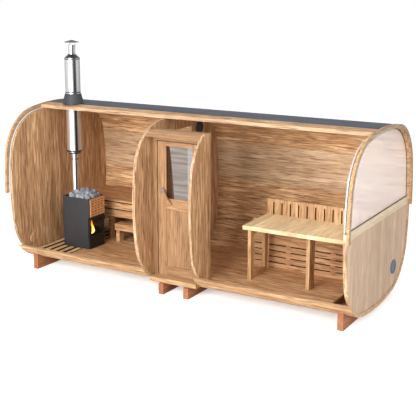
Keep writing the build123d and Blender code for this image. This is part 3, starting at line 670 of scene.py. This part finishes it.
full_height = (leaf_low.z - PAST_END, leaf_high.z + PAST_END)
between = (pane_low.x, pane_high.x)
first_seam = pane_low.x + SIDE_BOARD
seams = [pane_low.x, first_seam, first_seam + PANEL_BOARD, first_seam + 2 * PANEL_BOARD,
         pane_high.x]
leaf_cells = [
    block((leaf_low.x - PAST_END, pane_low.x), full_height),
    block((pane_high.x, leaf_high.x + PAST_END), full_height),
    block(between, (pane_high.z, leaf_high.z + PAST_END)),
    block(between, (panel_top, pane_low.z)),
    block(between, (leaf_low.z - PAST_END, panel_bottom)),
] + [block(pair, (panel_bottom, panel_top)) for pair in zip(seams, seams[1:])]


def leaf_pick(face, cell):
    """The rails, cells two to four, have their grain across the door."""
    return 1 if 2 <= cell <= 4 else 0


boards("door_frame_boards", "entrance_door", leaf_cells, "door_leaf",
       [door_wood, door_rail_wood], leaf_pick, FRAME_GROOVE)

# %% [markdown]
# ## Bench tops
# The upper bench is boards with shadow gaps between them, so the slices at the gaps are left out
# when it is cut. The pale top of the rest room bench is glued from boards laid from front to back,
# and its grooves are much finer.

# %% Bench tops
TOP_BOARD, FASCIA, SHADOW_GAP = 0.028, 0.108, 0.014
GLUED_BOARD, GLUED_GROOVE = 0.12, 0.0008
bench_low, bench_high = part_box("upper_bench")
top_gap = bench_high.z - TOP_BOARD
fascia_foot = top_gap - FASCIA + OVERSHOOT
bench_heights = (
    (bench_low.z - PAST_END, fascia_foot - SHADOW_GAP),
    (fascia_foot, top_gap - SHADOW_GAP),
    (top_gap, bench_high.z + PAST_END),
)
boards("upper_bench_boards", "upper_bench",
       [[tuple(across("Z", z) for z in pair)] for pair in bench_heights],
       "barrel", [bench_wood])

top_low, top_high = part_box("lounge_top")


def top_pick(face, cell):
    """The front edge of the bench top has its grain along the bench."""
    return 1 if face.normal.y < -FACING else 0


boards("bench_top_boards", "lounge_top",
       rows(straight_planes("X", top_low.x, top_high.x, GLUED_BOARD)),
       "barrel", [pale_wood, pale_edge], top_pick, GLUED_GROOVE)

# %% [markdown]
# ## Roof shingles
# The roof sheet is cut into rows by planes through the barrel's axis, like the staves under it.

# %% Roof rows
ROOF_START, ROOF_END, ROOF_ROWS, ROW_GROOVE = 20, 102, 16, 0.0016
boards("roof_shingles", "roof_sheet", rows(turning_planes(ROOF_START, ROOF_END, ROOF_ROWS)),
       "barrel", [shingles], None, ROW_GROOVE)

# %% [markdown]
# ## Plain nodes
# The other solids already have the right shape, so each keeps the mesh that it came with and only
# gets a finish. Modelling them again would gain nothing and could drift from the frame.

# %% Finishes on the frame's own nodes
node_finishes = {
    "left_hoop": hoop_wood, "right_hoop": hoop_wood, "cradles": cradle_wood,
    "waist_rail": rail_wood, "panorama_glass": panorama, "round_vents": vent_paint,
    "porch_ceiling": door_rail_wood, "entrance_step": step_wood,
    "door_jamb_left": door_wood, "door_jamb_right": door_wood, "door_head": door_rail_wood,
    "door_handle": door_wood, "door_glass": door_pane,
    "door_hinges": hinge_steel, "jamb_hinges": hinge_steel,
    "step_bench": bench_wood,
    "lounge_backrest": upright_wood, "lounge_grille": bench_wood, "lounge_supports": upright_wood,
    "stove_body": stove_paint, "stove_grille": copper, "stove_door": stove_dark,
    "stove_door_glass": fire_pane, "flue_pipe": steel, "insulated_chimney": steel,
    "roof_flashing": flashing_rubber,
}
for node, finish in node_finishes.items():
    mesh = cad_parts[node].data
    mesh.materials.clear()
    mesh.materials.append(finish)
print("finished nodes:", len(node_finishes))

# %% [markdown]
# ## Two finishes on one node
# Some nodes have more than one tone: the hoops are orange on their edges and grey on their faces,
# the high vent is navy and the low one blue-grey, and the chimney's cap and cones are darker than
# its pipe. Inside narrow slots a photo shows black shade. A bright set fills them with light, so
# the slots' own faces carry painted shade. Faces are chosen by where they lie and which way they
# look.

# %% Second finishes
pipe_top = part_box("flue_pipe")[1].z
CAP_HEIGHT, LOWER_CONE, UPPER_CONE, CONE_EDGE = 0.045, 0.024, 0.050, 0.002
RIM_DEPTH, DOOR_MARGIN, FRONT_DEPTH, FRONT_FACING, TOP_FACING = 0.004, 0.02, 0.1, 0.3, 0.9
BACK_END, PANEL_END, VENTS_PART = 0.02, 0.01, 1.0
stove_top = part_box("stove_body")[1].z
stove_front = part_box("stove_grille")[0].x
fire_low, fire_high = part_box("stove_door_glass")
back_low, back_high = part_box("lounge_backrest")
panel_low, panel_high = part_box("lounge_grille")


def second_finish(node, finish, chosen):
    """Give the chosen faces of a node one more finish."""
    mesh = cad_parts[node].data
    mesh.materials.append(finish)
    for polygon in mesh.polygons:
        if chosen(polygon):
            polygon.material_index = len(mesh.materials) - 1


def on_stove_front(face):
    """The stove's front, and what lies round its fire door."""
    level = fire_low.z - DOOR_MARGIN < face.center.z < fire_high.z + DOOR_MARGIN
    near = face.center.x > stove_front - FRONT_DEPTH
    return near and (face.normal.x > FRONT_FACING or level)


for hoop in ("left_hoop", "right_hoop"):
    second_finish(hoop, hoop_face, lambda face: abs(face.normal.x) > FACING)
# Painted highlight on the top faces of the stove's rim.
second_finish("stove_body", stove_rim_painted_highlight,
              lambda face: face.normal.z > TOP_FACING and face.center.z > stove_top - RIM_DEPTH)
second_finish("stove_body", stove_dark, on_stove_front)
# Painted shade on the faces inside the backrest's and the panel's slots.
second_finish("lounge_backrest", painted_shade_finish,
              lambda face: abs(face.normal.x) > FACING
              and back_low.x + BACK_END < face.center.x < back_high.x - BACK_END)
second_finish("lounge_grille", painted_shade_finish,
              lambda face: abs(face.normal.z) > FACING
              and panel_low.z + PANEL_END < face.center.z < panel_high.z - PANEL_END)
second_finish("round_vents", vent_dark, lambda face: face.center.x < VENTS_PART)
second_finish("flue_pipe", steel_dark, lambda face: face.center.z > pipe_top - CAP_HEIGHT)
second_finish("insulated_chimney", steel_dark,
              lambda face: face.center.z < pipe_low.z + LOWER_CONE + CONE_EDGE
              or face.center.z > pipe_high.z - UPPER_CONE + CONE_EDGE)
print("stove finishes:", len(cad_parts["stove_body"].data.materials))

# %% [markdown]
# ## Small fittings
# Flat bars and plates are cubes scaled to size, and pipe bands are a small profile spun round the
# pipe's axis. Thin dark sheets of painted shade lie behind the slats of the bench back and of the
# panel below, in the bench's gaps and under the open floor, for the same reason as the dark slots
# above.


# %% Fittings
def slab(bm, low, high):
    """A block between two corners."""
    low, high = Vector(low), Vector(high)
    made = bmesh.ops.create_cube(bm, size=1.0)
    bmesh.ops.scale(bm, vec=high - low, verts=made["verts"])
    bmesh.ops.translate(bm, vec=(low + high) / 2, verts=made["verts"])


def pipe_band(bm, radius, height, z, proud=0.0016, sunk=0.001):
    """A band round the chimney's axis."""
    inside, outside = radius - sunk, radius + proud
    corners = ((inside, 0), (outside, 0), (outside, height), (inside, height))
    verts = [bm.verts.new((flue_x + r, flue_y, z + h)) for r, h in corners]
    loop = [bm.edges.new((verts[i], verts[(i + 1) % 4])) for i in range(4)]
    bmesh.ops.spin(bm, geom=verts + loop, cent=(flue_x, flue_y, z), axis=(0, 0, 1), dvec=(0, 0, 0),
                   angle=2 * math.pi, steps=48, use_merge=True, use_duplicate=False)


def fitting(bm, name, finish, body):
    """Finish a bmesh of small parts, with its normals turned outwards."""
    bmesh.ops.remove_doubles(bm, verts=bm.verts, dist=0.00001)
    bmesh.ops.recalc_face_normals(bm, faces=bm.faces)
    soften(bm)
    return finish_piece(bm, name, [finish], body)


FLUE_RADIUS, SLEEVE_RADIUS = 0.048, 0.105
FLUE_BAND, SLEEVE_BAND, FOOT_BAND = 0.012, 0.014, 0.022
# Radius, height and level of each band
bands = (
    (FLUE_RADIUS, FLUE_BAND, pipe_low.z - 0.085),
    (FLUE_RADIUS, FLUE_BAND, pipe_low.z - 0.66),
    (SLEEVE_RADIUS, SLEEVE_BAND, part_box("roof_flashing")[1].z + 0.012),
    (SLEEVE_RADIUS, SLEEVE_BAND, pipe_high.z - UPPER_CONE - 0.022),
    (SLEEVE_RADIUS, FOOT_BAND, pipe_low.z + LOWER_CONE + 0.004),
)
bands_bm = bmesh.new()
for radius, height, level in bands:
    pipe_band(bands_bm, radius, height, level)
fitting(bands_bm, "flue_bands", steel_dark, "barrel")
print("bands on the chimney:", len(bands))

# %% Painted shade sheets
SHEET_FRONT, SHEET_BACK = 0.004, 0.001
GAP_BAR, GAP_BAR_DEPTH, GAP_BAR_SINK = 0.016, 0.024, 0.0015
GRATE_HALF, GRATE_SHEET = 0.69, 0.002
# Corners of what a sheet lies behind, then how far it stays from left, foot, right and top
sheets = (
    (back_low, back_high, 0.02, 0.03, 0.004, 0.012),
    (panel_low, panel_high, 0.01, 0.02, 0.006, 0.02),
)
# Dark sheets of painted shade behind the slats, in the bench's gaps and under the open floor.
shade_sheets_bm = bmesh.new()
for low, high, left, foot, right, top in sheets:
    slab(shade_sheets_bm, (low.x + left, high.y - SHEET_FRONT, low.z + foot),
         (high.x - right, high.y - SHEET_BACK, high.z - top))
for foot in (fascia_foot - SHADOW_GAP - OVERSHOOT, top_gap - SHADOW_GAP):
    slab(shade_sheets_bm, (bench_low.x + OVERSHOOT, bench_low.y + GAP_BAR_SINK, foot),
         (bench_high.x - OVERSHOOT, bench_low.y + GAP_BAR_DEPTH, foot + GAP_BAR))
slab(shade_sheets_bm, (steam_low.x + GRATE_EDGE, -GRATE_HALF, steam_low.z - GRATE_SHEET),
     (steam_low.x + GRATE_LENGTH - GRATE_EDGE, GRATE_HALF, steam_low.z + GRATE_SHEET))
fitting(shade_sheets_bm, "slat_painted_shade", painted_shade_finish, "barrel")
print("painted_shade_sheets: back, panel, two gaps and floor")

# %% Latch plates
LATCH_LEVELS, LATCH_HALF = (1.345, 1.296), 0.014
LATCH_LEFT, LATCH_RIGHT, LATCH_PROUD, LATCH_LIFT = -0.258, -0.228, 0.003, 0.0003
latch_bm = bmesh.new()
for level in LATCH_LEVELS:
    slab(latch_bm, (LATCH_LEFT, leaf_low.y - LATCH_PROUD, level - LATCH_HALF),
         (LATCH_RIGHT, leaf_low.y - LATCH_LIFT, level + LATCH_HALF))
fitting(latch_bm, "door_latch", latch_steel, "door_leaf")
print("latch plates:", len(LATCH_LEVELS))

# %% [markdown]
# ## Glass seal
# The window sits in a dark rubber seal. Its dark tone also stands for painted shade in the gap at
# the pane's foot, above the rail. It is the rim of the pane's outer face: that face is inset, the
# middle is dropped and the ring that stays is pulled out into a thin bead. The face stands alone by
# then, so the inset is told to count its boundary too.

# %% Glass seal
BEAD_WIDTH, BEAD_HEIGHT, OUTWARD = 0.012, 0.003, 0.9


def keep_faces(bm, wanted):
    """Delete all faces but the wanted ones."""
    wanted = set(wanted)
    bmesh.ops.delete(bm, geom=[face for face in bm.faces if face not in wanted], context="FACES")


seal_bm = copy_solid("panorama_glass")
seal_bm.normal_update()
outer_face = [face for face in seal_bm.faces if face.normal.x > OUTWARD]
keep_faces(seal_bm, outer_face)
ring = bmesh.ops.inset_region(seal_bm, faces=outer_face, thickness=BEAD_WIDTH, use_boundary=True,
                              use_even_offset=True)["faces"]
keep_faces(seal_bm, ring)
pulled = bmesh.ops.extrude_face_region(seal_bm, geom=seal_bm.faces[:])
raised = [v for v in pulled["geom"] if isinstance(v, bmesh.types.BMVert)]
bmesh.ops.translate(seal_bm, vec=(BEAD_HEIGHT, 0.0, 0.0), verts=raised)
bmesh.ops.recalc_face_normals(seal_bm, faces=seal_bm.faces)
finish_piece(seal_bm, "glass_seal_and_painted_shade", [seal_and_painted_shade], "barrel")
print("seal laid round the panorama glass:", len(ring), "faces")

# %% [markdown]
# ## Stones on the stove
# Split peridotite is sold as rough lumps of about 80 mm. Each lump is a low ball pushed in and
# out by noise, and the lumps are laid in layers that narrow towards the top. A place too near to
# the flue stays empty.

# %% Stones
ROUGHNESS, FLATNESS, LUMPS_ACROSS = 0.26, 0.78, 1.1
STONE_TURN, TURN_AXIS = 1.7, Vector((0.3, 0.5, 0.8)).normalized()
mound_low, mound_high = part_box("stove_stones")


def lump(bm, centre, size, seed):
    """One rough stone."""
    made = bmesh.ops.create_icosphere(bm, subdivisions=3, radius=size)
    turn = Matrix.Rotation(seed * STONE_TURN, 4, TURN_AXIS)
    for vert in made["verts"]:
        push = noise.noise(vert.co * (LUMPS_ACROSS / size) + Vector((seed, 0, 0)))
        vert.co *= 1.0 + ROUGHNESS * push
        vert.co.z *= FLATNESS
    bmesh.ops.transform(bm, matrix=Matrix.Translation(centre) @ turn, verts=made["verts"])


# Height of each layer, with its stones along and across the barrel
LAYERS = ((0.0, 4, 4), (0.05, 3, 2))
STONE_SIZE, SMALLEST, LARGEST, SEAT = 0.056, 0.85, 1.05, 0.75
SCATTER, NARROWS, TRAY_MARGIN, FLUE_ROOM = 0.007, 4.4, 0.02, 0.09
mound_mid = (mound_low + mound_high) / 2
mound_size = mound_high - mound_low
stones_bm = bmesh.new()
seed = 1
for rise, columns, lines in LAYERS:
    spread = 1.0 - rise * NARROWS
    for column in range(columns):
        for line in range(lines):
            share_x = (column + 0.5) / columns - 0.5
            share_y = (line + 0.5) / lines - 0.5
            centre = Vector((
                mound_mid.x + share_x * (mound_size.x - TRAY_MARGIN) * spread,
                mound_mid.y + share_y * (mound_size.y - TRAY_MARGIN) * spread,
                mound_low.z + STONE_SIZE * SEAT + rise,
            ))
            jolt = (random.uniform(-1, 1), random.uniform(-1, 1), random.uniform(-0.4, 0.4))
            centre += Vector(jolt) * SCATTER
            if math.hypot(centre.x - flue_x, centre.y - flue_y) > FLUE_ROOM:
                size = STONE_SIZE * random.uniform(SMALLEST, LARGEST)
                lump(stones_bm, centre, size, seed)
            seed += 1
soften(stones_bm, 70)
finish_piece(stones_bm, "stove_stone_heap", [stone], "barrel", ["stove_stones"])
print("places for stones:", seed - 1)

# %% [markdown]
# ## Fire behind the glass
# A flame is a soft body of light, brighter low down. A few narrow drop shapes with an emitting
# material stand behind the stove glass, on two charred logs.


# %% Fire
# Place in and across the chamber, height and half width of each flame
FLAMES = ((-0.02, -0.075, 0.205, 0.030), (-0.03, -0.050, 0.12, 0.028),
          (-0.015, -0.095, 0.12, 0.022))
FLAME_HEIGHT, FLAME_FOOT, FLAME_SWAY, FLAME_STRENGTH = 0.2, 0.03, 0.012, 3.2
# Turn, height over the glass's foot and place across the chamber of each log
LOGS = ((0.15, 0.02, -0.03), (-0.2, 0.055, 0.02))
LOG_LENGTH, LOG_SETBACK = 0.2, 0.12


def flame_material():
    """Yellow at the root, orange at the tip."""
    material, tree, shader = new_material("flame")
    place = add_node(tree, "ShaderNodeTexCoord").outputs["Object"]
    height = add_node(tree, "ShaderNodeSeparateXYZ", {0: place}).outputs["Z"]
    share = add_node(tree, "ShaderNodeMapRange", {
        "Value": height, "From Min": fire_low.z, "From Max": fire_low.z + FLAME_HEIGHT}).outputs[0]
    tone = ramp(tree, share, [(0.0, colour("ff8a20")), (0.35, colour("ffe07a")),
                              (0.7, colour("ffc040")), (1.0, colour("f07018"))])
    tree.links.new(tone, shader.inputs["Emission Color"])
    shader.inputs["Emission Strength"].default_value = FLAME_STRENGTH
    shader.inputs["Base Color"].default_value = colour("000000")
    return material


flame = flame_material()
fire_mid_y = (fire_low.y + fire_high.y) / 2
flame_bm = bmesh.new()
for dx, dy, height, width in FLAMES:
    made = bmesh.ops.create_uvsphere(flame_bm, u_segments=16, v_segments=12, radius=1.0)
    for vert in made["verts"]:
        up = (vert.co.z + 1) / 2
        thin = (1 - up) ** 0.6
        vert.co = Vector((
            fire_low.x + dx + vert.co.x * width * thin,
            fire_mid_y + dy + vert.co.y * width * thin + FLAME_SWAY * math.sin(up * 6),
            fire_low.z + FLAME_FOOT + up * height,
        ))
soften(flame_bm, 80)
finish_piece(flame_bm, "stove_flames", [flame], "barrel")
log_bm = bmesh.new()
for turn, lift, dy in LOGS:
    made = bmesh.ops.create_cone(log_bm, cap_ends=True, segments=14, radius1=0.022, radius2=0.02,
                                 depth=LOG_LENGTH)
    spin = Matrix.Rotation(turn, 4, "Z") @ Matrix.Rotation(math.pi / 2, 4, "Y")
    where = Matrix.Translation((fire_low.x - LOG_SETBACK, fire_mid_y + dy, fire_low.z + lift))
    bmesh.ops.transform(log_bm, matrix=where @ spin, verts=made["verts"])
soften(log_bm)
finish_piece(log_bm, "stove_logs", [char], "barrel")
print("flames:", len(FLAMES), "logs:", len(LOGS))

# %% [markdown]
# ## Studio
# A pale floor and a soft white surround. Lamps strong enough to make the floor white would bleach
# the wood. So the white is for the camera's own rays: to them the floor is whiter and glows a
# little, which keeps its shadow, and the surround is brighter than the light that it gives.

# %% Floor and surround
FLOOR_GREY, FLOOR_GLOW, FLOOR_HALF = (0.8, 0.8, 0.8, 1.0), 0.40, 60.0
SKY_LIGHT, SKY_SEEN = 0.62, 1.0
floor_material, floor_tree, floor_shader = new_material("studio_floor")
seen_floor = add_node(floor_tree, "ShaderNodeLightPath").outputs["Is Camera Ray"]
floor_tone = mix(floor_tree, seen_floor, FLOOR_GREY, WHITE)
floor_glow = add_node(floor_tree, "ShaderNodeMath", {0: seen_floor, 1: FLOOR_GLOW},
                      operation="MULTIPLY")
floor_tree.links.new(floor_tone, floor_shader.inputs["Base Color"])
floor_tree.links.new(floor_glow.outputs[0], floor_shader.inputs["Emission Strength"])
floor_shader.inputs["Emission Color"].default_value = WHITE
floor_shader.inputs["Roughness"].default_value = 0.9
floor_shader.inputs["Specular IOR Level"].default_value = 0.1
floor_mesh = bpy.data.meshes.new("studio_floor")
floor_bm = bmesh.new()
bmesh.ops.create_grid(floor_bm, x_segments=1, y_segments=1, size=FLOOR_HALF)
floor_bm.to_mesh(floor_mesh)
floor_bm.free()
floor_mesh.materials.append(floor_material)
floor = bpy.data.objects.new("studio_floor", floor_mesh)
bpy.context.scene.collection.objects.link(floor)

world = bpy.data.worlds.new("studio_world")
bpy.context.scene.world = world
world.use_nodes = True
world_tree = world.node_tree
paths = add_node(world_tree, "ShaderNodeLightPath")
seen = add_node(world_tree, "ShaderNodeMath",
                {0: paths.outputs["Is Camera Ray"], 1: paths.outputs["Is Glossy Ray"]},
                operation="MAXIMUM").outputs[0]
seen = add_node(world_tree, "ShaderNodeMath",
                {0: seen, 1: paths.outputs["Is Transmission Ray"]}, operation="MAXIMUM").outputs[0]
strength = add_node(world_tree, "ShaderNodeMapRange",
                    {"Value": seen, "To Min": SKY_LIGHT, "To Max": SKY_SEEN}).outputs[0]
backdrop = world_tree.nodes["Background"]
backdrop.inputs["Color"].default_value = WHITE
world_tree.links.new(strength, backdrop.inputs["Strength"])
print("floor and surround ready")

# %% [markdown]
# ## Lamps
# Three large soft lamps: one high in front, one low in front that reaches the benches and the
# rooms' backs, and one at the right for the end wall.


# %% Lamps
def lamp(name, place, aim, power, size):
    """A square soft light that looks at a point."""
    data = bpy.data.lights.new(name, "AREA")
    data.energy = power
    data.size = size
    made = bpy.data.objects.new(name, data)
    made.location = place
    made.rotation_euler = (Vector(aim) - Vector(place)).to_track_quat("-Z", "Y").to_euler()
    bpy.context.scene.collection.objects.link(made)
    return made


# Name, place, the point that it looks at, power in watts and side in metres
lamp("front_light", (0.5, -9.0, 5.2), (0.0, 0.0, 1.2), 610, 4.0)
lamp("low_light", (-1.0, -8.0, 1.8), (0.6, 0.9, 1.3), 400, 4.0)
lamp("side_light", (8.0, -4.0, 4.0), (1.0, 0.0, 1.0), 300, 4.0)
print("lamps:", len(bpy.data.lights))

# %% [markdown]
# ## Camera
# The picture is taken from the right of the open front, slightly above the roof, with a long
# lens, so the far end is only a little smaller than the near one.

# %% Camera
camera_place = Vector((5.762, -9.803, 3.856))
camera_turn = math.radians(30.35)
camera_dip = math.radians(11.51)
camera_data = bpy.data.cameras.new("camera")
camera_data.lens = 76.76
camera_data.sensor_width = 36.0
camera_data.shift_x = 0.0068
camera_data.shift_y = -0.1
camera = bpy.data.objects.new("camera", camera_data)
camera.location = camera_place
camera.rotation_euler = (math.pi / 2 - camera_dip, 0.0, camera_turn)
bpy.context.scene.collection.objects.link(camera)
bpy.context.scene.camera = camera
bpy.context.scene.view_settings.view_transform = "Standard"
print("camera at", [round(c, 2) for c in camera_place])
